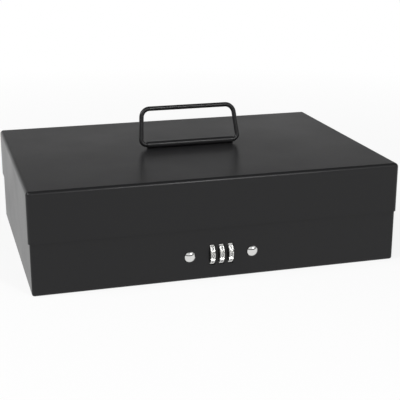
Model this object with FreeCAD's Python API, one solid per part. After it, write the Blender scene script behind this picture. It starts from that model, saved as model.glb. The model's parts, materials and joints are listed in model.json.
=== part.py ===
import FreeCAD, Part
import math
import os

# Cash box in folded sheet steel, in millimetres.
# +X is right, the front faces -Y, +Z is up, and the origin is the middle of the base's underside.

# Box shells
BOX_WIDTH = 400.0
BOX_DEPTH = 280.0
BOX_HEIGHT = 110.0
SEAM_HEIGHT = 56.0
RIM_LAP = 10.0
SHEET = 1.0
LID_CLEARANCE = 0.4
BASE_BEND = 1.6
CORNER_EASE = 0.3
LID_BEND = 3.0

# Folding wire handle and the rolled barrel that carries it
WIRE_DIAMETER = 5.2
HANDLE_OFFSET = 4.6
HANDLE_FOOT_WIDTH = 115.8
HANDLE_TOP_WIDTH = 108.4
HANDLE_RISE = 41.0
HANDLE_TOP_BEND = 10.0
HANDLE_FOOT_BEND = 6.4
HANDLE_LEAN = 16.0
WIRE_BUTT_GAP = 0.4
BARREL_LENGTH = 102.0
BARREL_WALL = 1.2
BARREL_CLEARANCE = 0.1
BRACKET_TAB_SPACING = 66.0
BRACKET_TAB_WIDTH = 16.0
BRACKET_TAB_REACH = 7.0
TAB_SLOT_CLEARANCE = 0.2

# Rear hinges
HINGE_INSET = 70.0
HINGE_LENGTH = 40.0
KNUCKLE_RADIUS = 3.0
KNUCKLE_GAP = 0.3
HINGE_STANDOFF = 0.4
PIN_RADIUS = 1.5
PIN_CLEARANCE = 0.05
PIN_OVERHANG = 0.8
LEAF_THICKNESS = 1.2
LEAF_HEIGHT = 16.0
LEAF_CORNER = 3.0

# Number dials, hubs and spindle
LOCK_HEIGHT = 26.5
DIAL_NAMES = ("left", "middle", "right")
DIAL_PITCH = 10.0
DIAL_WIDTH = 5.2
DIAL_RADIUS = 12.0
DIAL_PROTRUSION = 5.0
DIAL_FACETS = 10
GROOVE_WIDTH = 2.4
GROOVE_FLOOR = 1.0
GROOVE_DEPTH = 1.0
DIAL_RIM_BEVEL = 0.5
DIAL_SLOT_CLEARANCE = 0.4
DIAL_SLOT_END_GAP = 0.9
SPINDLE_RADIUS = 2.0
SPINDLE_CLEARANCE = 0.05
SLEEVE_RADIUS = 3.2
FLANGE_WALL_GAP = 0.5
GATE_FLANGE_THICKNESS = 1.0
FENCE_THICKNESS = 1.0
FENCE_WIDTH = 3.0
FENCE_SIDE_GAP = 0.3
FENCE_FLANGE_GAP = 0.6
FENCE_TIP_GAP = 0.5
GATE_CLEARANCE = 0.4
SPACER_PLAY = 0.1
SPACER_LENGTH = 1.6

# Latch plate and dome knobs
LATCH_TRAVEL = 3.0
LATCH_PLATE = 1.2
LATCH_GAP = 0.3
LATCH_BAND = 5.4
LATCH_WINDOW_GAP = 0.5
LATCH_END_MARGIN = 8.0
SHELF_GAP = 0.6
FINGER_SPACING = 60.0
FINGER_WIDTH = 6.0
FINGER_REACH = 3.5
FINGER_DROP = 10.8
KNOB_SPACING = 68.4
KNOB_RADIUS = 5.7
KNOB_HEIGHT = 3.2
KNOB_EDGE = 0.8
KNOB_FACE_GAP = 0.2
KNOB_NECK_RADIUS = 2.0
KNOB_SLOT_CLEARANCE = 0.2
KNOB_RIVET_RADIUS = 3.2
KNOB_RIVET_HEIGHT = 0.8

# Catch strip in the lid
CATCH_STRIP = 1.2
CATCH_GAP = 0.9
CATCH_RIM_GAP = 1.0
CATCH_FLANGE = 12.0
CATCH_LEDGE = 4.9
CATCH_SLOT_GAP = 0.5
CATCH_END_MARGIN = 12.0

# Lock case, cradle and detent spring
CASE_SHEET = 1.0
CASE_CLEARANCE = 1.5
CASE_END_GAP = 3.3
CASE_EAR = 9.0
CASE_EAR_HEIGHT = 30.0
STUD_RADIUS = 2.0
STUD_LENGTH = 9.0
STUD_HOLE_CLEARANCE = 0.3
STUD_SPREAD = 20.0
NUT_FLATS = 7.0
NUT_HEIGHT = 3.2
CRADLE_SHEET = 1.2
CRADLE_HALF_HEIGHT = 5.0
CRADLE_NOSE = 3.6
CRADLE_FOOT = 17.0
DIAL_BACK_GAP = 0.6
CLIP_RADIUS = 3.6
CLIP_THICKNESS = 0.6
SPINDLE_END = 1.2
SPRING_SHEET = 0.4
SPRING_TIP_GAP = 0.2
SPRING_FOOT = 3.4
SPRING_FINGER_WIDTH = 4.0

# Cash tray and its rails
TRAY_SEAT_HEIGHT = 30.0
TRAY_HEIGHT = 34.0
TRAY_SEAT_GAP = 0.2
TRAY_SIDE_GAP = 3.6
TRAY_FRONT_GAP = 5.0
TRAY_WALL = 2.0
TRAY_CORNER = 7.0
TRAY_EDGE = 2.0
FINGER_NOTCH = 11.0
COIN_CUPS = 5
COIN_CUP_DEPTH = 78.0
NOTE_BAYS = 4
BAY_CORNER = 5.0
BAY_EDGE = 2.5
RAIL_SHEET = 1.2
RAIL_LEDGE = 10.0
RAIL_DROP = 14.0
RAIL_END_GAP = 8.0

# Places worked out from the sizes above
BASE_WIDTH = BOX_WIDTH - 2 * (SHEET + LID_CLEARANCE)
BASE_DEPTH = BOX_DEPTH - 2 * (SHEET + LID_CLEARANCE)
RIM_HEIGHT = SEAM_HEIGHT + RIM_LAP
BASE_CORNER = BASE_BEND + CORNER_EASE
LID_CORNER = BASE_CORNER + SHEET + LID_CLEARANCE
FRONT_FACE = -BASE_DEPTH / 2
FRONT_INSIDE = FRONT_FACE + SHEET
REAR_FACE = BASE_DEPTH / 2
SIDE_INSIDE = BASE_WIDTH / 2 - SHEET
LID_REAR = BOX_DEPTH / 2
LID_FRONT_INSIDE = -BOX_DEPTH / 2 + SHEET
LID_UNDERSIDE = BOX_HEIGHT - SHEET
WIRE_RADIUS = WIRE_DIAMETER / 2
BARREL_BORE = WIRE_RADIUS + BARREL_CLEARANCE
BARREL_RADIUS = BARREL_BORE + BARREL_WALL
HANDLE_AXIS_Z = BOX_HEIGHT + BARREL_RADIUS
HINGE_AXIS_Y = LID_REAR + HINGE_STANDOFF + KNUCKLE_RADIUS
HINGE_AXIS_Z = SEAM_HEIGHT
DIAL_AXIS_Y = FRONT_FACE - DIAL_PROTRUSION + DIAL_RADIUS
DIAL_PLACES = [(place - (len(DIAL_NAMES) - 1) / 2) * DIAL_PITCH for place in range(len(DIAL_NAMES))]
FENCE_START = DIAL_WIDTH / 2 + FENCE_SIDE_GAP
FLANGE_START = FENCE_START + FENCE_THICKNESS + FENCE_FLANGE_GAP
FLANGE_END = FLANGE_START + GATE_FLANGE_THICKNESS
GATE_FLANGE_RADIUS = DIAL_AXIS_Y - FRONT_INSIDE - FLANGE_WALL_GAP
FENCE_TIP_RADIUS = SLEEVE_RADIUS + FENCE_TIP_GAP
LATCH_FRONT = FRONT_INSIDE + LATCH_GAP
LATCH_BACK = LATCH_FRONT + LATCH_PLATE
CATCH_FRONT = LATCH_BACK + CATCH_GAP
CATCH_STEP_Z = RIM_HEIGHT + CATCH_RIM_GAP
FINGER_TOP = RIM_HEIGHT - FINGER_DROP
CRADLE_FRONT = DIAL_AXIS_Y + DIAL_RADIUS + DIAL_BACK_GAP
CASE_BACK_INSIDE = CRADLE_FRONT + CRADLE_SHEET
CASE_BACK = CASE_BACK_INSIDE + CASE_SHEET
WINDOW_HALF = math.sqrt(DIAL_RADIUS ** 2 - (DIAL_AXIS_Y - LATCH_BACK) ** 2) + LATCH_WINDOW_GAP
LATCH_HALF = WINDOW_HALF + LATCH_BAND
LATCH_END = KNOB_SPACING / 2 + LATCH_END_MARGIN
CASE_INSIDE_END = LATCH_END + LATCH_TRAVEL + CASE_END_GAP
CASE_END = CASE_INSIDE_END + CASE_SHEET
CASE_HALF = LATCH_HALF + CASE_CLEARANCE
STUD_X = CASE_END + CASE_EAR / 2
CHEEK_LEFT = DIAL_PLACES[0] - DIAL_WIDTH / 2 - SPACER_LENGTH
CHEEK_RIGHT = DIAL_PLACES[-1] - DIAL_WIDTH / 2 + DIAL_PITCH + SPACER_LENGTH
TRAY_FLOOR = TRAY_SEAT_HEIGHT + TRAY_SEAT_GAP
TRAY_TOP = TRAY_FLOOR + TRAY_HEIGHT
TRAY_HALF_WIDTH = SIDE_INSIDE - TRAY_SIDE_GAP
TRAY_FRONT = CASE_BACK + TRAY_FRONT_GAP
TRAY_BACK = REAR_FACE - SHEET - TRAY_SIDE_GAP

X_AXIS = FreeCAD.Vector(1, 0, 0)
Y_AXIS = FreeCAD.Vector(0, 1, 0)


def vec(x, y, z):
    return FreeCAD.Vector(x, y, z)


def block(x0, x1, y0, y1, z0, z1):
    return Part.makeBox(x1 - x0, y1 - y0, z1 - z0, vec(x0, y0, z0))


def rod_x(x0, x1, y, z, radius):
    return Part.makeCylinder(radius, x1 - x0, vec(x0, y, z), X_AXIS)


def rod_y(x, y0, y1, z, radius):
    return Part.makeCylinder(radius, y1 - y0, vec(x, y0, z), Y_AXIS)


def fuse(shapes):
    return shapes[0].multiFuse(shapes[1:]).removeSplitter()


def cut(shape, tools):
    return shape.cut(Part.makeCompound(tools))


def prism_x(points, x0, x1):
    """Prism along X from a closed outline of (y, z) points."""
    corners = [vec(x0, y, z) for y, z in points]
    outline = Part.makePolygon(corners + corners[:1])
    return Part.Face(outline).extrude(vec(x1 - x0, 0, 0))


def folded_strip(points, thickness, x0, x1):
    """Sheet strip along X that follows a folded (y, z) line and is thickened to the line's left."""
    normals = []
    for (y0, z0), (y1, z1) in zip(points, points[1:]):
        length = math.hypot(y1 - y0, z1 - z0)
        normals.append((-(z1 - z0) / length, (y1 - y0) / length))
    before = normals[:1] + normals
    after = normals + normals[-1:]
    offset = []
    for (y, z), (ay, az), (by, bz) in zip(points, before, after):
        reach = thickness / (1 + ay * by + az * bz)
        offset.append((y + (ay + by) * reach, z + (az + bz) * reach))
    return prism_x(points + offset[::-1], x0, x1)


def upright_edges(solid):
    return [edge for edge in solid.Edges if abs(edge.Vertexes[0].Z - edge.Vertexes[-1].Z) > 0.01]


def level_edges(solid, z):
    return [edge for edge in solid.Edges if all(abs(v.Z - z) < 0.01 for v in edge.Vertexes)]


def rounded_block(x0, x1, y0, y1, z0, z1, corner, edge, edge_z):
    """Block with round upright corners and one rounded end, at edge_z."""
    solid = block(x0, x1, y0, y1, z0, z1)
    solid = solid.makeFillet(corner, upright_edges(solid))
    return solid.makeFillet(min(edge, corner - CORNER_EASE / 2), level_edges(solid, edge_z))


def centred_block(width, depth, z0, z1, corner, edge, edge_z):
    return rounded_block(-width / 2, width / 2, -depth / 2, depth / 2, z0, z1, corner, edge, edge_z)


def bent_wire(points, bends, radius):
    """Round wire of straight runs joined by bends of the given centreline radii."""
    pieces = []
    start = points[0]
    for before, corner, after, bend in zip(points, points[1:], points[2:], bends):
        back = (before - corner).normalize()
        ahead = (after - corner).normalize()
        half_angle = back.getAngle(ahead) / 2
        entry = corner + back * (bend / math.tan(half_angle))
        leave = corner + ahead * (bend / math.tan(half_angle))
        centre = corner + (back + ahead).normalize() * (bend / math.sin(half_angle))
        axis = (entry - centre).cross(leave - centre)
        section = Part.Face(Part.Wire([Part.Circle(entry, back, radius).toShape()]))
        pieces.append(Part.makeCylinder(radius, start.distanceToPoint(entry), start, entry - start))
        pieces.append(section.revolve(centre, axis, 180 - math.degrees(2 * half_angle)))
        start = leave
    pieces.append(Part.makeCylinder(radius, start.distanceToPoint(points[-1]), start, points[-1] - start))
    return fuse(pieces)


def dial_slot(place):
    """Front-wall slot that one dial stands out through."""
    half_width = DIAL_WIDTH / 2 + DIAL_SLOT_CLEARANCE
    chord = math.sqrt(DIAL_RADIUS ** 2 - (DIAL_AXIS_Y - FRONT_INSIDE) ** 2)
    half_height = chord + DIAL_SLOT_END_GAP
    return block(place - half_width, place + half_width, FRONT_FACE - SHEET, FRONT_INSIDE + SHEET,
                 LOCK_HEIGHT - half_height, LOCK_HEIGHT + half_height)


def knob_slot(place):
    """Round-ended slot that lets a knob's neck travel, hidden under the dome."""
    radius = KNOB_NECK_RADIUS + KNOB_SLOT_CLEARANCE
    y0 = FRONT_FACE - SHEET
    y1 = FRONT_INSIDE + SHEET
    ends = [rod_y(x, y0, y1, LOCK_HEIGHT, radius) for x in (place, place + LATCH_TRAVEL)]
    middle = block(place, place + LATCH_TRAVEL, y0, y1, LOCK_HEIGHT - radius, LOCK_HEIGHT + radius)
    return fuse(ends + [middle])


def knob_places():
    return (-KNOB_SPACING / 2, KNOB_SPACING / 2)


def base_shell():
    outer = centred_block(BASE_WIDTH, BASE_DEPTH, 0, RIM_HEIGHT,
                          BASE_CORNER + SHEET, BASE_BEND + SHEET, 0)
    inner = centred_block(BASE_WIDTH - 2 * SHEET, BASE_DEPTH - 2 * SHEET, SHEET, RIM_HEIGHT + SHEET,
                          BASE_CORNER, BASE_BEND, SHEET)
    slots = [dial_slot(place) for place in DIAL_PLACES]
    slots += [knob_slot(place) for place in knob_places()]
    return cut(outer, [inner] + slots)


def bracket_tab_places():
    return (HANDLE_OFFSET - BRACKET_TAB_SPACING / 2, HANDLE_OFFSET + BRACKET_TAB_SPACING / 2)


def lid_shell():
    outer = centred_block(BOX_WIDTH, BOX_DEPTH, SEAM_HEIGHT, BOX_HEIGHT,
                          LID_CORNER + SHEET, LID_BEND + SHEET, BOX_HEIGHT)
    inner = centred_block(BOX_WIDTH - 2 * SHEET, BOX_DEPTH - 2 * SHEET, SEAM_HEIGHT - SHEET, LID_UNDERSIDE,
                          LID_CORNER, LID_BEND, LID_UNDERSIDE)
    half_width = BRACKET_TAB_WIDTH / 2 + TAB_SLOT_CLEARANCE
    half_depth = BARREL_WALL + TAB_SLOT_CLEARANCE
    slots = [block(x - half_width, x + half_width, -half_depth, half_depth,
                   LID_UNDERSIDE - SHEET, BOX_HEIGHT + SHEET) for x in bracket_tab_places()]
    return cut(outer, [inner] + slots)


def handle_bracket():
    """Rolled barrel whose paired tabs pass through the lid and are folded out beneath it."""
    left = HANDLE_OFFSET - BARREL_LENGTH / 2
    right = HANDLE_OFFSET + BARREL_LENGTH / 2
    pieces = [rod_x(left, right, 0, HANDLE_AXIS_Z, BARREL_RADIUS)]
    for x in bracket_tab_places():
        x0 = x - BRACKET_TAB_WIDTH / 2
        x1 = x + BRACKET_TAB_WIDTH / 2
        neck_top = HANDLE_AXIS_Z - BARREL_BORE
        pieces.append(block(x0, x1, -BARREL_WALL, BARREL_WALL, LID_UNDERSIDE - BARREL_WALL, neck_top))
        pieces.append(block(x0, x1, -BRACKET_TAB_REACH, BRACKET_TAB_REACH,
                            LID_UNDERSIDE - BARREL_WALL, LID_UNDERSIDE))
    bore = rod_x(left, right, 0, HANDLE_AXIS_Z, BARREL_BORE)
    return cut(fuse(pieces), [bore])


def handle():
    """Wire bail: one bent wire whose two ends butt in the middle of the barrel."""
    foot = HANDLE_FOOT_WIDTH / 2
    top = HANDLE_TOP_WIDTH / 2
    end = WIRE_BUTT_GAP / 2
    points = [vec(end, 0, 0), vec(foot, 0, 0), vec(top, 0, HANDLE_RISE),
              vec(-top, 0, HANDLE_RISE), vec(-foot, 0, 0), vec(-end, 0, 0)]
    bends = [HANDLE_FOOT_BEND, HANDLE_TOP_BEND, HANDLE_TOP_BEND, HANDLE_FOOT_BEND]
    wire = bent_wire(points, bends, WIRE_RADIUS)
    wire.rotate(vec(0, 0, 0), X_AXIS, -HANDLE_LEAN)
    wire.translate(vec(HANDLE_OFFSET, 0, HANDLE_AXIS_Z))
    return wire


def knuckle_spans(centre):
    """X spans of one hinge's three knuckles, left to right."""
    third = (HINGE_LENGTH - 2 * KNUCKLE_GAP) / 3
    starts = [centre - HINGE_LENGTH / 2 + place * (third + KNUCKLE_GAP) for place in range(3)]
    return [(start, start + third) for start in starts]


def pin_bore(centre):
    return rod_x(centre - HINGE_LENGTH, centre + HINGE_LENGTH, HINGE_AXIS_Y, HINGE_AXIS_Z,
                 PIN_RADIUS + PIN_CLEARANCE)


def leaf_plate(centre, y, z0, z1, round_z):
    """Flat of a hinge leaf with two rounded corners on its free edge."""
    plate = block(centre - HINGE_LENGTH / 2, centre + HINGE_LENGTH / 2, y, y + LEAF_THICKNESS, z0, z1)
    corners = [edge for edge in level_edges(plate, round_z) if edge.Length < HINGE_LENGTH / 2]
    return plate.makeFillet(LEAF_CORNER, corners)


def hinge_leaf_lid(centre):
    """Leaf on the lid's rear face, rolled into the two outer knuckles."""
    clear = KNUCKLE_RADIUS + KNUCKLE_GAP
    top = HINGE_AXIS_Z + clear + LEAF_HEIGHT
    pieces = [leaf_plate(centre, LID_REAR, HINGE_AXIS_Z + clear, top, top)]
    left, middle, right = knuckle_spans(centre)
    for x0, x1 in (left, right):
        pieces.append(rod_x(x0, x1, HINGE_AXIS_Y, HINGE_AXIS_Z, KNUCKLE_RADIUS))
        pieces.append(block(x0, x1, LID_REAR, LID_REAR + LEAF_THICKNESS, HINGE_AXIS_Z, HINGE_AXIS_Z + clear))
    return cut(fuse(pieces), [pin_bore(centre)])


def hinge_leaf_base(centre):
    """Leaf on the base's rear face, folded out under the seam to the middle knuckle."""
    shelf_z = HINGE_AXIS_Z - KNUCKLE_RADIUS
    bottom = shelf_z - LEAF_HEIGHT
    left, (x0, x1), right = knuckle_spans(centre)
    pieces = [leaf_plate(centre, REAR_FACE, bottom, shelf_z + LEAF_THICKNESS, bottom)]
    pieces.append(block(x0, x1, REAR_FACE, HINGE_AXIS_Y, shelf_z, shelf_z + LEAF_THICKNESS))
    pieces.append(rod_x(x0, x1, HINGE_AXIS_Y, HINGE_AXIS_Z, KNUCKLE_RADIUS))
    return cut(fuse(pieces), [pin_bore(centre)])


def hinge_pin(centre):
    reach = HINGE_LENGTH / 2 + PIN_OVERHANG
    return rod_x(centre - reach, centre + reach, HINGE_AXIS_Y, HINGE_AXIS_Z, PIN_RADIUS)


def dial_outline(x, inset):
    """Closed outline of a dial at x: number flats with a finger groove between each pair."""
    rim = DIAL_RADIUS - inset
    floor = rim - GROOVE_DEPTH
    half_groove = GROOVE_WIDTH / 2 / DIAL_RADIUS
    half_floor = GROOVE_FLOOR / 2 / DIAL_RADIUS
    corners = []
    for number in range(DIAL_FACETS):
        middle = (number + 0.5) * 2 * math.pi / DIAL_FACETS
        turns = [(rim, -half_groove), (floor, -half_floor), (floor, half_floor), (rim, half_groove)]
        for radius, turn in turns:
            corners.append(vec(x, DIAL_AXIS_Y + radius * math.cos(middle + turn),
                               LOCK_HEIGHT + radius * math.sin(middle + turn)))
    return Part.makePolygon(corners + corners[:1])


def number_dial(place):
    """Ten-sided dial with bevelled rims, bored for its hub."""
    x0 = place - DIAL_WIDTH / 2
    x1 = place + DIAL_WIDTH / 2
    sections = [dial_outline(x0, DIAL_RIM_BEVEL), dial_outline(x0 + DIAL_RIM_BEVEL, 0),
                dial_outline(x1 - DIAL_RIM_BEVEL, 0), dial_outline(x1, DIAL_RIM_BEVEL)]
    body = Part.makeLoft(sections, True, True)
    return body.cut(rod_x(x0, x1, DIAL_AXIS_Y, LOCK_HEIGHT, SLEEVE_RADIUS))


def gated_hub(place):
    """Sleeve pressed into a dial, with a flange that lets the fence through at one gate."""
    x0 = place - DIAL_WIDTH / 2
    x1 = x0 + DIAL_PITCH - SPACER_PLAY
    sleeve = rod_x(x0, x1, DIAL_AXIS_Y, LOCK_HEIGHT, SLEEVE_RADIUS)
    flange = rod_x(place + FLANGE_START, place + FLANGE_END, DIAL_AXIS_Y, LOCK_HEIGHT, GATE_FLANGE_RADIUS)
    half_gate = FENCE_WIDTH / 2 + GATE_CLEARANCE
    gate = block(place + FLANGE_START, place + FLANGE_END, DIAL_AXIS_Y - half_gate, DIAL_AXIS_Y + half_gate,
                 LOCK_HEIGHT + FENCE_TIP_RADIUS - GATE_CLEARANCE, LOCK_HEIGHT + 2 * GATE_FLANGE_RADIUS)
    bore = rod_x(x0, x1, DIAL_AXIS_Y, LOCK_HEIGHT, SPINDLE_RADIUS + SPINDLE_CLEARANCE)
    return cut(fuse([sleeve, flange]), [gate, bore])


def dial_spindle():
    overhang = CRADLE_SHEET + CLIP_THICKNESS + SPINDLE_END
    return rod_x(CHEEK_LEFT - overhang, CHEEK_RIGHT + overhang, DIAL_AXIS_Y, LOCK_HEIGHT, SPINDLE_RADIUS)


def spindle_rings(spans, radius):
    """Separate rings on the spindle, one for each X span."""
    rings = []
    for x0, x1 in spans:
        ring = rod_x(x0, x1, DIAL_AXIS_Y, LOCK_HEIGHT, radius)
        rings.append(ring.cut(rod_x(x0, x1, DIAL_AXIS_Y, LOCK_HEIGHT, SPINDLE_RADIUS)))
    return Part.makeCompound(rings)


def spindle_spacers():
    """Rings between the outer hubs and the cheeks."""
    first = DIAL_PLACES[0] - DIAL_WIDTH / 2
    last = DIAL_PLACES[-1] - DIAL_WIDTH / 2 + DIAL_PITCH
    return spindle_rings([(CHEEK_LEFT, first - SPACER_PLAY), (last, CHEEK_RIGHT)], SLEEVE_RADIUS)


def spindle_clips():
    left = CHEEK_LEFT - CRADLE_SHEET - CLIP_THICKNESS
    right = CHEEK_RIGHT + CRADLE_SHEET
    return spindle_rings([(left, left + CLIP_THICKNESS), (right, right + CLIP_THICKNESS)], CLIP_RADIUS)


def dial_cradle():
    """Channel against the case's back with a cheek at each end of the spindle."""
    x0 = CHEEK_LEFT - CRADLE_SHEET
    x1 = CHEEK_RIGHT + CRADLE_SHEET
    foot = LOCK_HEIGHT - CRADLE_FOOT
    chin = LOCK_HEIGHT - CRADLE_HALF_HEIGHT
    head = LOCK_HEIGHT + CRADLE_HALF_HEIGHT
    pieces = [block(x0, x1, CRADLE_FRONT, CASE_BACK_INSIDE, foot, head)]
    for start in (x0, CHEEK_RIGHT):
        end = start + CRADLE_SHEET
        pieces.append(block(start, end, DIAL_AXIS_Y, CASE_BACK_INSIDE, chin, head))
        pieces.append(rod_x(start, end, DIAL_AXIS_Y, LOCK_HEIGHT, CRADLE_NOSE))
    bore = rod_x(2 * x0, 2 * x1, DIAL_AXIS_Y, LOCK_HEIGHT, SPINDLE_RADIUS)
    return cut(fuse(pieces), [bore])


def detent_spring():
    """Leaf spring on the cradle with one finger under each dial."""
    foot = LOCK_HEIGHT - CRADLE_FOOT
    tip = LOCK_HEIGHT - DIAL_RADIUS - SPRING_TIP_GAP - SPRING_SHEET
    root = (CRADLE_FRONT - SPRING_SHEET, foot + SPRING_FOOT)
    nose = (DIAL_AXIS_Y, tip)
    fall = (DIAL_AXIS_Y - SPRING_FOOT, tip - SPRING_FOOT / 2)
    half = SPRING_FINGER_WIDTH / 2
    pieces = [block(DIAL_PLACES[0] - half, DIAL_PLACES[-1] + half, CRADLE_FRONT - SPRING_SHEET, CRADLE_FRONT,
                    foot, foot + SPRING_FOOT)]
    for place in DIAL_PLACES:
        line = [fall, nose, (root[0], root[1] - 2 * SPRING_SHEET), (CRADLE_FRONT, root[1] - 2 * SPRING_SHEET)]
        pieces.append(folded_strip(line, SPRING_SHEET, place - half, place + half))
    return fuse(pieces)


def finger_places():
    return (-FINGER_SPACING / 2, FINGER_SPACING / 2)


def latch_plate():
    """Sliding plate round the dials, with two arms whose ends are folded back as hooks."""
    plate = block(-LATCH_END, LATCH_END, LATCH_FRONT, LATCH_BACK,
                  LOCK_HEIGHT - LATCH_HALF, LOCK_HEIGHT + LATCH_HALF)
    window_left = DIAL_PLACES[0] - DIAL_WIDTH / 2 - LATCH_WINDOW_GAP - LATCH_TRAVEL
    window_right = DIAL_PLACES[-1] + FLANGE_END + LATCH_WINDOW_GAP
    window = block(window_left, window_right, LATCH_FRONT - LATCH_PLATE, LATCH_BACK + LATCH_PLATE,
                   LOCK_HEIGHT - WINDOW_HALF, LOCK_HEIGHT + WINDOW_HALF)
    pieces = [cut(plate, [window])]
    arm = [(LATCH_BACK, LOCK_HEIGHT + LATCH_HALF), (LATCH_BACK, FINGER_TOP - LATCH_PLATE),
           (LATCH_BACK + FINGER_REACH, FINGER_TOP - LATCH_PLATE)]
    for x in finger_places():
        pieces.append(folded_strip(arm, LATCH_PLATE, x - FINGER_WIDTH / 2, x + FINGER_WIDTH / 2))
    necks = [rod_y(x, LATCH_FRONT - LATCH_PLATE, LATCH_BACK + LATCH_PLATE, LOCK_HEIGHT, KNOB_NECK_RADIUS)
             for x in knob_places()]
    return cut(fuse(pieces), necks)


def fence_comb():
    """Shelf on the back of the latch plate with a fin beside each dial."""
    shelf_z = LOCK_HEIGHT + DIAL_RADIUS + SHELF_GAP
    back = DIAL_AXIS_Y + FENCE_WIDTH / 2
    starts = [place + FENCE_START for place in DIAL_PLACES]
    pieces = [block(starts[0], starts[-1] + FENCE_THICKNESS, LATCH_BACK, back,
                    shelf_z, shelf_z + FENCE_THICKNESS)]
    for start in starts:
        pieces.append(block(start, start + FENCE_THICKNESS, DIAL_AXIS_Y - FENCE_WIDTH / 2, back,
                            LOCK_HEIGHT + FENCE_TIP_RADIUS, shelf_z))
    return fuse(pieces)


def dome_knob(place):
    """Low dome on a neck that passes the front wall and is riveted over behind the latch plate."""
    face = FRONT_FACE - KNOB_FACE_GAP
    rim = face - KNOB_EDGE
    crown = face - KNOB_HEIGHT
    tail = LATCH_BACK + KNOB_RIVET_HEIGHT
    rise = KNOB_HEIGHT - KNOB_EDGE
    sphere = (KNOB_RADIUS ** 2 + rise ** 2) / (2 * rise)
    half = KNOB_RADIUS / 2
    shoulder = crown + sphere - math.sqrt(sphere ** 2 - half ** 2)
    dome = Part.Arc(vec(0, crown, 0), vec(half, shoulder, 0), vec(KNOB_RADIUS, rim, 0)).toShape()
    steps = [(KNOB_RADIUS, rim), (KNOB_RADIUS, face),
             (KNOB_NECK_RADIUS, face), (KNOB_NECK_RADIUS, LATCH_BACK),
             (KNOB_RIVET_RADIUS, LATCH_BACK), (KNOB_RIVET_RADIUS, tail), (0, tail), (0, crown)]
    runs = [Part.LineSegment(vec(*a, 0), vec(*b, 0)).toShape() for a, b in zip(steps, steps[1:])]
    profile = Part.Face(Part.Wire([dome] + runs))
    knob = profile.revolve(vec(0, 0, 0), Y_AXIS, 360)
    knob.translate(vec(place, 0, LOCK_HEIGHT))
    return knob


def lid_catch():
    """Folded strip inside the lid's front, with a J-shaped slot for each latch finger."""
    bottom = FINGER_TOP - LATCH_PLATE - CATCH_SLOT_GAP - CATCH_LEDGE
    line = [(LID_FRONT_INSIDE, CATCH_STEP_Z + CATCH_FLANGE), (LID_FRONT_INSIDE, CATCH_STEP_Z),
            (CATCH_FRONT, CATCH_STEP_Z), (CATCH_FRONT, bottom)]
    end = FINGER_SPACING / 2 + CATCH_END_MARGIN
    strip = folded_strip(line, CATCH_STRIP, -end, end)
    slots = []
    for x in finger_places():
        left = x - FINGER_WIDTH / 2 - CATCH_SLOT_GAP
        right = x + FINGER_WIDTH / 2 + CATCH_SLOT_GAP
        y0 = CATCH_FRONT - CATCH_STRIP
        y1 = CATCH_FRONT + 2 * CATCH_STRIP
        top = FINGER_TOP + CATCH_SLOT_GAP
        slots.append(block(left, right, y0, y1, bottom - CATCH_STRIP, top))
        slots.append(block(left, right + LATCH_TRAVEL, y0, y1, bottom + CATCH_LEDGE, top))
    return cut(strip, slots)


def stud_places():
    return [(x, LOCK_HEIGHT + z) for x in (-STUD_X, STUD_X) for z in (-STUD_SPREAD / 2, STUD_SPREAD / 2)]


def lock_case():
    """Open-fronted cover over the lock, with a fixing ear at each end."""
    low = LOCK_HEIGHT - CASE_HALF
    high = LOCK_HEIGHT + CASE_HALF
    outer = block(-CASE_END, CASE_END, FRONT_INSIDE, CASE_BACK, low - CASE_SHEET, high + CASE_SHEET)
    back_edges = [edge for edge in outer.Edges if all(abs(v.Y - CASE_BACK) < 0.01 for v in edge.Vertexes)]
    outer = outer.makeChamfer(CASE_SHEET, back_edges)
    inner = block(-CASE_INSIDE_END, CASE_INSIDE_END, FRONT_INSIDE - CASE_SHEET, CASE_BACK_INSIDE, low, high)
    ear_end = CASE_END + CASE_EAR
    ears = block(-ear_end, ear_end, FRONT_INSIDE, FRONT_INSIDE + CASE_SHEET,
                 LOCK_HEIGHT - CASE_EAR_HEIGHT / 2, LOCK_HEIGHT + CASE_EAR_HEIGHT / 2)
    arm = FINGER_SPACING / 2 + FINGER_WIDTH / 2 + LATCH_WINDOW_GAP
    notch = block(-arm, arm + LATCH_TRAVEL, FRONT_INSIDE - CASE_SHEET, LATCH_BACK + LATCH_WINDOW_GAP,
                  high - CASE_SHEET, high + 2 * CASE_SHEET)
    hole = STUD_RADIUS + STUD_HOLE_CLEARANCE
    holes = [rod_y(x, FRONT_INSIDE - CASE_SHEET, FRONT_INSIDE + 2 * CASE_SHEET, z, hole)
             for x, z in stud_places()]
    return cut(fuse([outer, ears]), [inner, notch] + holes)


def lock_studs():
    studs = [rod_y(x, FRONT_INSIDE, FRONT_INSIDE + STUD_LENGTH, z, STUD_RADIUS) for x, z in stud_places()]
    return Part.makeCompound(studs)


def lock_nuts():
    nuts = []
    seat = FRONT_INSIDE + CASE_SHEET
    reach = NUT_FLATS / 2 / math.cos(math.pi / 6)
    for x, z in stud_places():
        angles = [side * math.pi / 3 for side in range(6)]
        corners = [vec(x + reach * math.cos(angle), seat, z + reach * math.sin(angle)) for angle in angles]
        hexagon = Part.Face(Part.makePolygon(corners + corners[:1])).extrude(vec(0, NUT_HEIGHT, 0))
        nuts.append(hexagon.cut(rod_y(x, seat, seat + NUT_HEIGHT, z, STUD_RADIUS)))
    return Part.makeCompound(nuts)


def tray_rail(side):
    """Angle on a side wall whose ledge carries the tray; side is -1 for left and 1 for right."""
    wall = side * SIDE_INSIDE
    flange = sorted((wall, wall - side * RAIL_SHEET))
    ledge = sorted((wall, wall - side * RAIL_LEDGE))
    y0 = TRAY_FRONT + RAIL_END_GAP
    y1 = TRAY_BACK - RAIL_END_GAP
    upright = block(*flange, y0, y1, TRAY_SEAT_HEIGHT - RAIL_DROP, TRAY_SEAT_HEIGHT)
    shelf = block(*ledge, y0, y1, TRAY_SEAT_HEIGHT - RAIL_SHEET, TRAY_SEAT_HEIGHT)
    return fuse([upright, shelf])


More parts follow.
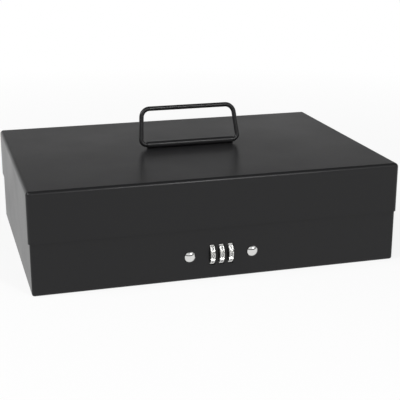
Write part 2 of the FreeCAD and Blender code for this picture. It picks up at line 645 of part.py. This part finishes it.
def even_spans(start, end, count, wall):
    """Equal clear spans between walls of one thickness."""
    clear = (end - start - (count - 1) * wall) / count
    starts = [start + place * (clear + wall) for place in range(count)]
    return [(x0, x0 + clear) for x0 in starts]


def pocket(x0, x1, y0, y1):
    """Note bay with round upright corners and a bevelled floor edge."""
    floor = TRAY_FLOOR + TRAY_WALL
    space = block(x0, x1, y0, y1, floor, TRAY_TOP + TRAY_WALL)
    space = space.makeFillet(BAY_CORNER, upright_edges(space))
    return space.makeChamfer(BAY_EDGE, level_edges(space, floor))


def cash_tray():
    """Moulded tray: a row of scooped coin cups in front of long note bays, with finger notches to lift it."""
    left = -TRAY_HALF_WIDTH + TRAY_WALL
    right = TRAY_HALF_WIDTH - TRAY_WALL
    cup_front = TRAY_FRONT + TRAY_WALL
    cup_back = cup_front + COIN_CUP_DEPTH
    bay_front = cup_back + TRAY_WALL
    bay_back = TRAY_BACK - TRAY_WALL
    cup_fall = TRAY_HEIGHT - TRAY_WALL
    scoop = ((COIN_CUP_DEPTH / 2) ** 2 + cup_fall ** 2) / (2 * cup_fall)
    cup_y = (cup_front + cup_back) / 2
    cup_z = TRAY_FLOOR + TRAY_WALL + scoop
    body = block(-TRAY_HALF_WIDTH, TRAY_HALF_WIDTH, TRAY_FRONT, TRAY_BACK, TRAY_FLOOR, TRAY_TOP)
    body = body.makeFillet(TRAY_CORNER, upright_edges(body))
    body = body.makeChamfer(TRAY_EDGE - CORNER_EASE, level_edges(body, TRAY_FLOOR))
    cups = even_spans(left, right, COIN_CUPS, TRAY_WALL)
    bays = even_spans(left, right, NOTE_BAYS, TRAY_WALL)
    hollows = [rod_x(x0, x1, cup_y, cup_z, scoop) for x0, x1 in cups]
    hollows += [pocket(x0, x1, bay_front, bay_back) for x0, x1 in bays]
    row = block(left, right, cup_front, cup_back, TRAY_FLOOR - TRAY_WALL, TRAY_TOP - 2 * TRAY_WALL)
    hollows.append(row.cut(rod_x(left, right, cup_y, cup_z, scoop + TRAY_WALL)))
    notch_y = (bay_front + bay_back) / 2
    hollows.append(rod_x(-2 * TRAY_HALF_WIDTH, left, notch_y, TRAY_TOP, FINGER_NOTCH))
    hollows.append(rod_x(right, 2 * TRAY_HALF_WIDTH, notch_y, TRAY_TOP, FINGER_NOTCH))
    return cut(body, hollows)


def nodes():
    parts = {
        "base_shell": base_shell(),
        "lid_shell": lid_shell(),
        "handle_bracket": handle_bracket(),
        "handle": handle(),
        "lid_catch": lid_catch(),
        "latch_plate": latch_plate(),
        "fence_comb": fence_comb(),
        "dial_spindle": dial_spindle(),
        "spindle_spacers": spindle_spacers(),
        "spindle_clips": spindle_clips(),
        "dial_cradle": dial_cradle(),
        "detent_spring": detent_spring(),
        "lock_case": lock_case(),
        "lock_studs": lock_studs(),
        "lock_nuts": lock_nuts(),
        "cash_tray": cash_tray(),
    }
    for name, place in zip(DIAL_NAMES, DIAL_PLACES):
        parts["dial_" + name] = number_dial(place)
        parts["hub_" + name] = gated_hub(place)
    for name, side in (("left", -1), ("right", 1)):
        hinge = side * (BOX_WIDTH / 2 - HINGE_INSET)
        parts["hinge_leaf_lid_" + name] = hinge_leaf_lid(hinge)
        parts["hinge_leaf_base_" + name] = hinge_leaf_base(hinge)
        parts["hinge_pin_" + name] = hinge_pin(hinge)
        parts["tray_rail_" + name] = tray_rail(side)
        parts["knob_" + name] = dome_knob(side * KNOB_SPACING / 2)
    return parts


def main():
    os.makedirs("parts", exist_ok=True)
    for name, shape in nodes().items():
        shape.exportStep("parts/" + name + ".step")
        print(name, "solids", len(shape.Solids), "valid", shape.isValid(), "volume", round(shape.Volume, 1))


main()
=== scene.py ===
import json
import math

import bpy
from mathutils import Matrix, Vector


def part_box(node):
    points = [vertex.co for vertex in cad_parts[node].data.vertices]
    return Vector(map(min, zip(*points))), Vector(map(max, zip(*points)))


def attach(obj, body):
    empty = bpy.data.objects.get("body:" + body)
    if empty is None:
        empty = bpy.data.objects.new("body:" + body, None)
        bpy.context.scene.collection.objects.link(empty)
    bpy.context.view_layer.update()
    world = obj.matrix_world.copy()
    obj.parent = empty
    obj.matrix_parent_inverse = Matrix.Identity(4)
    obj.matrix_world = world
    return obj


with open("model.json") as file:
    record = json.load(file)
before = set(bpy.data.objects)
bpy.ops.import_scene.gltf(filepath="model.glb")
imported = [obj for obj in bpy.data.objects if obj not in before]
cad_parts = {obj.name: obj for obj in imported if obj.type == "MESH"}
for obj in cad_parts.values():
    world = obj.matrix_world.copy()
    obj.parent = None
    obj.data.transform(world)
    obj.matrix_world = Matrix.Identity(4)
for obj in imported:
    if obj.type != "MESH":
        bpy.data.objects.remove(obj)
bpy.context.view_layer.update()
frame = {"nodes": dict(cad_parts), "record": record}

NODES = frame["nodes"]
JOINTS = {joint["name"]: joint for joint in frame["record"]["behaviour"]["joints"]}

# Camera, fitted to the corners of the box in the photograph; metres and degrees
CAMERA_PLACE = (-0.2883, -1.0632, 0.3860)
CAMERA_AZIMUTH = 15.99
CAMERA_ELEVATION = 17.24
FOCAL_PIXELS = 982.4
FRAME_PIXELS = 400
SENSOR_MM = 36.0

# Surroundings, the same for every ray. Each span is of the view direction's rise, or of its reach
# towards the window, and the levels are the strengths at the two ends of the span.
BACKDROP_SPAN = (0.08, 0.27)
HORIZON_SPAN = (0.10, 0.15)
BACKDROP_LEVELS = (1.0, 0.12)
GAP_SPAN = (0.3, 0.7)
GAP_LEVELS = (1.0, 0.25)
WINDOW_TOWARDS = (-0.25, -0.95, 0.0)
WINDOW_SPAN = (-0.2, 0.3)
WINDOW_LEVELS = (0.12, 0.95)
SILL_SPAN = (0.32, 0.42)
SILL_LEVELS = (0.1, 1.0)
CEILING_SPAN = (0.68, 0.9)
CEILING_LEVELS = (1.0, 0.12)

# Lamps, in metres and watts
LAMPS = (
    {"name": "key", "place": (-1.2, -0.3, 1.6), "target": (0, 0, 0.06), "size": (0.9, 0.7), "power": 22.0},
    {"name": "front", "place": (0.35, -1.2, 0.85), "target": (0, 0, 0.1), "size": (0.15, 0.15), "power": 6.5},
)

# White paper floor: its glowing share rises to 1 away from the box, and the rest takes the shadow
FLOOR_HALF = 30.0
FLOOR_COLOUR = (0.9, 0.9, 0.9, 1)
FLOOR_ROUGHNESS = 0.8
GLOW_STRENGTH = 1.0
GLOW_SPAN = (0.35, 1.2)
GLOW_SHARES = (0.84, 1.0)

# Middle part of a noise's range, which is stretched over the range that is wanted
NOISE_SPAN = (0.3, 0.7)

# Finishes: darkest and palest colour, roughness range, noise scales per metre, bump strength and depth
COAT_COLOURS = ((0.0085, 0.0085, 0.0091), (0.0140, 0.0140, 0.0147))
COAT_ROUGHNESS = (0.28, 0.35)
COAT_SPECULAR = 0.22
COAT_SPECKLE_SCALE = 1500.0
COAT_SPECKLE_BUMP = (0.12, 0.0002)
COAT_PEEL_SCALE = 420.0
COAT_PEEL_BUMP = (0.10, 0.0004)
COAT_CLOUD_SCALE = 9.0
COAT_CLOUD_DETAIL = 4.0
COAT_CLOUD_ROUGHNESS = 0.6

CHROME_COLOUR = (0.68, 0.68, 0.67, 1)
CHROME_ROUGHNESS = (0.05, 0.13)
CHROME_HAZE_SCALE = 700.0

NICKEL_COLOURS = ((0.56, 0.56, 0.55), (0.78, 0.78, 0.76))
NICKEL_ROUGHNESS = (0.18, 0.32)
NICKEL_LINE_SCALE = (9000.0, 300.0, 300.0)
NICKEL_BUMP = (0.15, 0.00005)
# Near-black colour of the dial's faces that look along X, and the span of the normal's X reach over which it
# comes in
DIAL_SIDE_COLOUR = (0.012, 0.012, 0.013, 1)
DIAL_SIDE_SPAN = (0.3, 0.8)

ZINC_COLOURS = ((0.46, 0.47, 0.49), (0.62, 0.62, 0.60))
ZINC_ROUGHNESS = (0.26, 0.42)
ZINC_STREAK_SCALE = (40.0, 2500.0, 2500.0)
ZINC_BUMP = (0.12, 0.00005)
ZINC_BLOOM_SCALE = 160.0
ZINC_BLOOM_SPAN = (0.35, 0.65)

BRASS_COLOURS = ((0.58, 0.42, 0.17), (0.72, 0.56, 0.26))
BRASS_ROUGHNESS = (0.22, 0.36)
BRASS_RING_SCALE = (7000.0, 200.0, 200.0)

PLASTIC_COLOURS = ((0.016, 0.016, 0.017), (0.024, 0.024, 0.025))
PLASTIC_ROUGHNESS = (0.42, 0.58)
PLASTIC_SPECULAR = 0.4
PLASTIC_TINT_SCALE = 14.0
PLASTIC_GRAIN_SCALE = 1100.0
PLASTIC_BUMP = (0.2, 0.0002)

INK_COLOURS = ((0.006, 0.006, 0.007), (0.018, 0.018, 0.019))
INK_ROUGHNESS = 0.55
INK_PATCH_SCALE = 2500.0

FINE_DETAIL = 2.0
FULL_DETAIL = 3.0

# Digits on the dials, in metres; CAP_SHARE is a digit's height as a share of the font's size
DIAL_SIDES = ("left", "middle", "right")
DIGIT_COUNT = 10
DIGIT_HEIGHT = 0.0039
DIGIT_BOLD = 0.00008
DIGIT_DEPTH = 0.00012
CAP_SHARE = 0.7


def new_material(name):
    """Node material with a plain Principled shader; returns the material, its tree and the shader."""
    material = bpy.data.materials.new(name)
    material.use_nodes = True
    tree = material.node_tree
    shader = tree.nodes["Principled BSDF"]
    return material, tree, shader


def add_node(tree, kind, inputs=None, **settings):
    """New node with its settings and its unlinked input values."""
    node = tree.nodes.new(kind)
    for key, value in settings.items():
        setattr(node, key, value)
    for key, value in (inputs or {}).items():
        node.inputs[key].default_value = value
    return node


def place_texture(tree, scale=(1, 1, 1)):
    """Texture coordinates in metres in the piece's own frame, stretched by scale."""
    coords = add_node(tree, "ShaderNodeTexCoord")
    mapping = add_node(tree, "ShaderNodeMapping", {"Scale": scale})
    tree.links.new(coords.outputs["Object"], mapping.inputs["Vector"])
    return mapping.outputs["Vector"]


def noise(tree, vector, scale, detail=FULL_DETAIL, roughness=0.5):
    """Noise at a texture place."""
    node = add_node(tree, "ShaderNodeTexNoise", {"Scale": scale, "Detail": detail, "Roughness": roughness})
    tree.links.new(vector, node.inputs["Vector"])
    return node.outputs["Fac"]


def remap(tree, value, low, high, to_low, to_high):
    """Value moved from the range low to high into to_low to to_high, and held at its ends."""
    node = add_node(tree, "ShaderNodeMapRange",
                    {"From Min": low, "From Max": high, "To Min": to_low, "To Max": to_high})
    tree.links.new(value, node.inputs["Value"])
    return node.outputs["Result"]


def stretch(tree, value, to_low=0.0, to_high=1.0):
    """Middle of a noise's range stretched over to_low to to_high."""
    return remap(tree, value, *NOISE_SPAN, to_low, to_high)


def combine(tree, operation, first, second):
    """Result of a maths operation on two node outputs."""
    node = add_node(tree, "ShaderNodeMath", operation=operation)
    tree.links.new(first, node.inputs[0])
    tree.links.new(second, node.inputs[1])
    return node.outputs["Value"]


def along(tree, vector, direction):
    """How far a node's vector output reaches along a fixed direction."""
    node = add_node(tree, "ShaderNodeVectorMath", {1: direction}, operation="DOT_PRODUCT")
    tree.links.new(vector, node.inputs[0])
    return node.outputs["Value"]


def blend_colours(tree, factor, first, second):
    """Colour between first and second."""
    node = add_node(tree, "ShaderNodeMix", data_type="RGBA")
    node.inputs["A"].default_value = (*first, 1)
    node.inputs["B"].default_value = (*second, 1)
    tree.links.new(factor, node.inputs["Factor"])
    return node.outputs["Result"]


def add_bump(tree, shader, height, strength, distance, normal=None):
    """Bump from a height, over an earlier bump's normal where one is given."""
    node = add_node(tree, "ShaderNodeBump", {"Strength": strength, "Distance": distance})
    tree.links.new(height, node.inputs["Height"])
    if normal is not None:
        tree.links.new(normal, node.inputs["Normal"])
    tree.links.new(node.outputs["Normal"], shader.inputs["Normal"])
    return node.outputs["Normal"]


def powder_coat():
    """Satin black powder coat: fine sprayed texture over a slow unevenness of its gloss."""
    material, tree, shader = new_material("powder_coat")
    vector = place_texture(tree)
    speckle = noise(tree, vector, COAT_SPECKLE_SCALE, FINE_DETAIL)
    cloud = noise(tree, vector, COAT_CLOUD_SCALE, COAT_CLOUD_DETAIL, COAT_CLOUD_ROUGHNESS)
    tint = blend_colours(tree, stretch(tree, speckle), *COAT_COLOURS)
    tree.links.new(tint, shader.inputs["Base Color"])
    tree.links.new(stretch(tree, cloud, *COAT_ROUGHNESS), shader.inputs["Roughness"])
    shader.inputs["Specular IOR Level"].default_value = COAT_SPECULAR
    orange_peel = noise(tree, vector, COAT_PEEL_SCALE, FINE_DETAIL)
    peel_normal = add_bump(tree, shader, orange_peel, *COAT_PEEL_BUMP)
    add_bump(tree, shader, speckle, *COAT_SPECKLE_BUMP, peel_normal)
    return material


def chrome():
    """Polished chrome with fine polishing haze."""
    material, tree, shader = new_material("polished_chrome")
    haze = noise(tree, place_texture(tree), CHROME_HAZE_SCALE)
    shader.inputs["Base Color"].default_value = CHROME_COLOUR
    shader.inputs["Metallic"].default_value = 1.0
    tree.links.new(stretch(tree, haze, *CHROME_ROUGHNESS), shader.inputs["Roughness"])
    return material


def nickel():
    """Nickel-plated dial with fine turning lines across its width; its faces that look along X are coloured
    near-black and are not metallic.
    """
    material, tree, shader = new_material("dial_nickel")
    lines = noise(tree, place_texture(tree, NICKEL_LINE_SCALE), 1.0)
    normal = add_node(tree, "ShaderNodeTexCoord").outputs["Normal"]
    # Faces that look along X are coloured near-black and lose their metal
    sideways = add_node(tree, "ShaderNodeMath", operation="ABSOLUTE")
    tree.links.new(along(tree, normal, (1, 0, 0)), sideways.inputs[0])
    side_darkening = remap(tree, sideways.outputs["Value"], *DIAL_SIDE_SPAN, 0.0, 1.0)
    tint = add_node(tree, "ShaderNodeMix", data_type="RGBA")
    tint.inputs["B"].default_value = DIAL_SIDE_COLOUR
    tree.links.new(blend_colours(tree, stretch(tree, lines), *NICKEL_COLOURS), tint.inputs["A"])
    tree.links.new(side_darkening, tint.inputs["Factor"])
    tree.links.new(tint.outputs["Result"], shader.inputs["Base Color"])
    tree.links.new(remap(tree, side_darkening, 0.0, 1.0, 1.0, 0.0), shader.inputs["Metallic"])
    tree.links.new(stretch(tree, lines, *NICKEL_ROUGHNESS), shader.inputs["Roughness"])
    add_bump(tree, shader, lines, *NICKEL_BUMP)
    return material


def zinc_steel():
    """Bright zinc-plated sheet with rolling lines along X and a cloudy passivated bloom."""
    material, tree, shader = new_material("zinc_steel")
    streaks = noise(tree, place_texture(tree, ZINC_STREAK_SCALE), 1.0)
    bloom = noise(tree, place_texture(tree), ZINC_BLOOM_SCALE)
    cloud = remap(tree, bloom, *ZINC_BLOOM_SPAN, 0.0, 1.0)
    tree.links.new(blend_colours(tree, cloud, *ZINC_COLOURS), shader.inputs["Base Color"])
    shader.inputs["Metallic"].default_value = 1.0
    tree.links.new(stretch(tree, streaks, *ZINC_ROUGHNESS), shader.inputs["Roughness"])
    add_bump(tree, shader, streaks, *ZINC_BUMP)
    return material


def brass():
    """Turned brass with fine rings."""
    material, tree, shader = new_material("turned_brass")
    rings = noise(tree, place_texture(tree, BRASS_RING_SCALE), 1.0, FINE_DETAIL)
    tint = blend_colours(tree, stretch(tree, rings), *BRASS_COLOURS)
    tree.links.new(tint, shader.inputs["Base Color"])
    shader.inputs["Metallic"].default_value = 1.0
    tree.links.new(stretch(tree, rings, *BRASS_ROUGHNESS), shader.inputs["Roughness"])
    return material


def tray_plastic():
    """Black moulded plastic with a fine etched grain."""
    material, tree, shader = new_material("tray_plastic")
    vector = place_texture(tree)
    grain = noise(tree, vector, PLASTIC_GRAIN_SCALE, FINE_DETAIL)
    tint = blend_colours(tree, noise(tree, vector, PLASTIC_TINT_SCALE), *PLASTIC_COLOURS)
    tree.links.new(tint, shader.inputs["Base Color"])
    tree.links.new(stretch(tree, grain, *PLASTIC_ROUGHNESS), shader.inputs["Roughness"])
    shader.inputs["Specular IOR Level"].default_value = PLASTIC_SPECULAR
    add_bump(tree, shader, grain, *PLASTIC_BUMP)
    return material


def digit_ink():
    """Black filling of the stamped digits, slightly uneven."""
    material, tree, shader = new_material("digit_ink")
    patch = noise(tree, place_texture(tree), INK_PATCH_SCALE, FINE_DETAIL)
    tree.links.new(blend_colours(tree, patch, *INK_COLOURS), shader.inputs["Base Color"])
    shader.inputs["Roughness"].default_value = INK_ROUGHNESS
    return material


def dress_nodes():
    """Gives every CAD node the finish of its slot in the record."""
    finishes = {
        "black_powder_coat": powder_coat(),
        "knob_chrome": chrome(),
        "dial_metal": nickel(),
        "lock_steel": zinc_steel(),
        "hub_brass": brass(),
        "tray_plastic": tray_plastic(),
    }
    for subpart in frame["record"]["subparts"]:
        mesh = NODES[subpart["node"]].data
        mesh.materials.clear()
        mesh.materials.append(finishes[subpart["material_slot"]])


def digit_mesh(number):
    """Thin mesh of one digit, centred, about DIGIT_HEIGHT tall."""
    text = bpy.data.curves.new("digit_text", "FONT")
    text.body = str(number)
    text.align_x = "CENTER"
    text.align_y = "CENTER"
    text.size = DIGIT_HEIGHT / CAP_SHARE
    text.extrude = DIGIT_DEPTH / 2
    text.offset = DIGIT_BOLD
    carrier = bpy.data.objects.new("digit_carrier", text)
    bpy.context.scene.collection.objects.link(carrier)
    bpy.context.view_layer.update()
    mesh = bpy.data.meshes.new_from_object(carrier)
    bpy.data.objects.remove(carrier)
    bpy.data.curves.remove(text)
    corners = [vertex.co for vertex in mesh.vertices]
    middle_x = (min(co.x for co in corners) + max(co.x for co in corners)) / 2
    middle_y = (min(co.y for co in corners) + max(co.y for co in corners)) / 2
    mesh.transform(Matrix.Translation((-middle_x, -middle_y, 0)))
    return mesh


def add_digits():
    """Ten digits round each dial, one on each flat, that turn with the dial."""
    ink = digit_ink()
    meshes = [digit_mesh(number) for number in range(DIGIT_COUNT)]
    for mesh in meshes:
        mesh.materials.append(ink)
    face_front = Matrix.Rotation(math.radians(90), 4, "X")
    for side in DIAL_SIDES:
        axis_point = Vector(JOINTS[side + "_dial_turn"]["pos_m"])
        flat = axis_point.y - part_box("dial_" + side)[0][1]
        stand_off = Matrix.Translation((0, -flat, 0))
        for number, mesh in enumerate(meshes):
            digit = bpy.data.objects.new("digit_%s_%d" % (side, number), mesh.copy())
            turn = Matrix.Rotation(2 * math.pi * number / DIGIT_COUNT, 4, "X")
            digit.matrix_world = Matrix.Translation(axis_point) @ turn @ stand_off @ face_front
            bpy.context.scene.collection.objects.link(digit)
            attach(digit, side + "_dial")


def add_camera():
    """Camera at the photograph's place and angle."""
    azimuth = math.radians(CAMERA_AZIMUTH)
    elevation = math.radians(CAMERA_ELEVATION)
    level = math.cos(elevation)
    look = Vector((math.sin(azimuth) * level, math.cos(azimuth) * level, -math.sin(elevation)))
    data = bpy.data.cameras.new("camera")
    data.sensor_width = SENSOR_MM
    data.lens = FOCAL_PIXELS * SENSOR_MM / FRAME_PIXELS
    camera = bpy.data.objects.new("camera", data)
    camera.location = CAMERA_PLACE
    camera.rotation_euler = look.to_track_quat("-Z", "Y").to_euler()
    bpy.context.scene.collection.objects.link(camera)
    bpy.context.scene.camera = camera


def add_lamp(name, place, target, size, power):
    """Soft rectangular lamp that points at target."""
    data = bpy.data.lights.new(name, "AREA")
    data.shape = "RECTANGLE"
    data.size, data.size_y = size
    data.energy = power
    lamp = bpy.data.objects.new(name, data)
    lamp.location = place
    lamp.rotation_euler = (Vector(target) - Vector(place)).to_track_quat("-Z", "Y").to_euler()
    bpy.context.scene.collection.objects.link(lamp)


def light_world():
    """White low backdrop, a window in front over a dim gap, and a dim ceiling, alike for every ray."""
    world = bpy.data.worlds.new("studio")
    bpy.context.scene.world = world
    world.use_nodes = True
    tree = world.node_tree
    background = tree.nodes["Background"]
    background.inputs["Color"].default_value = (1, 1, 1, 1)
    outward = add_node(tree, "ShaderNodeTexCoord").outputs["Generated"]
    rise = along(tree, outward, (0, 0, 1))
    forward = along(tree, outward, WINDOW_TOWARDS)
    backdrop = remap(tree, rise, *BACKDROP_SPAN, *BACKDROP_LEVELS)
    horizon = remap(tree, rise, *HORIZON_SPAN, *BACKDROP_LEVELS)
    gap = remap(tree, forward, *GAP_SPAN, *GAP_LEVELS)
    window = remap(tree, forward, *WINDOW_SPAN, *WINDOW_LEVELS)
    sill = remap(tree, rise, *SILL_SPAN, *SILL_LEVELS)
    ceiling = remap(tree, rise, *CEILING_SPAN, *CEILING_LEVELS)
    pane = combine(tree, "MULTIPLY", window, combine(tree, "MULTIPLY", sill, ceiling))
    wall = combine(tree, "MAXIMUM", combine(tree, "MULTIPLY", backdrop, gap), horizon)
    tree.links.new(combine(tree, "MAXIMUM", wall, pane), background.inputs["Strength"])


def floor_paper():
    """White paper that glows as a white floor does and takes the shadow near the box."""
    material, tree, shader = new_material("floor_paper")
    shader.inputs["Base Color"].default_value = FLOOR_COLOUR
    shader.inputs["Roughness"].default_value = FLOOR_ROUGHNESS
    away = add_node(tree, "ShaderNodeVectorMath", operation="LENGTH")
    tree.links.new(place_texture(tree), away.inputs[0])
    share = remap(tree, away.outputs["Value"], *GLOW_SPAN, *GLOW_SHARES)
    glow = add_node(tree, "ShaderNodeEmission", {"Strength": GLOW_STRENGTH})
    mix = add_node(tree, "ShaderNodeMixShader")
    tree.links.new(share, mix.inputs["Fac"])
    tree.links.new(shader.outputs["BSDF"], mix.inputs[1])
    tree.links.new(glow.outputs["Emission"], mix.inputs[2])
    tree.links.new(mix.outputs["Shader"], tree.nodes["Material Output"].inputs["Surface"])
    return material


def add_floor():
    """Plain pale floor under the box."""
    half = FLOOR_HALF
    corners = [(-half, -half, 0), (half, -half, 0), (half, half, 0), (-half, half, 0)]
    mesh = bpy.data.meshes.new("floor")
    mesh.from_pydata(corners, [], [(0, 1, 2, 3)])
    mesh.materials.append(floor_paper())
    floor = bpy.data.objects.new("floor", mesh)
    bpy.context.scene.collection.objects.link(floor)


def main():
    dress_nodes()
    add_digits()
    add_camera()
    light_world()
    for lamp in LAMPS:
        add_lamp(**lamp)
    add_floor()
    bpy.context.scene.view_settings.view_transform = "Standard"


main()
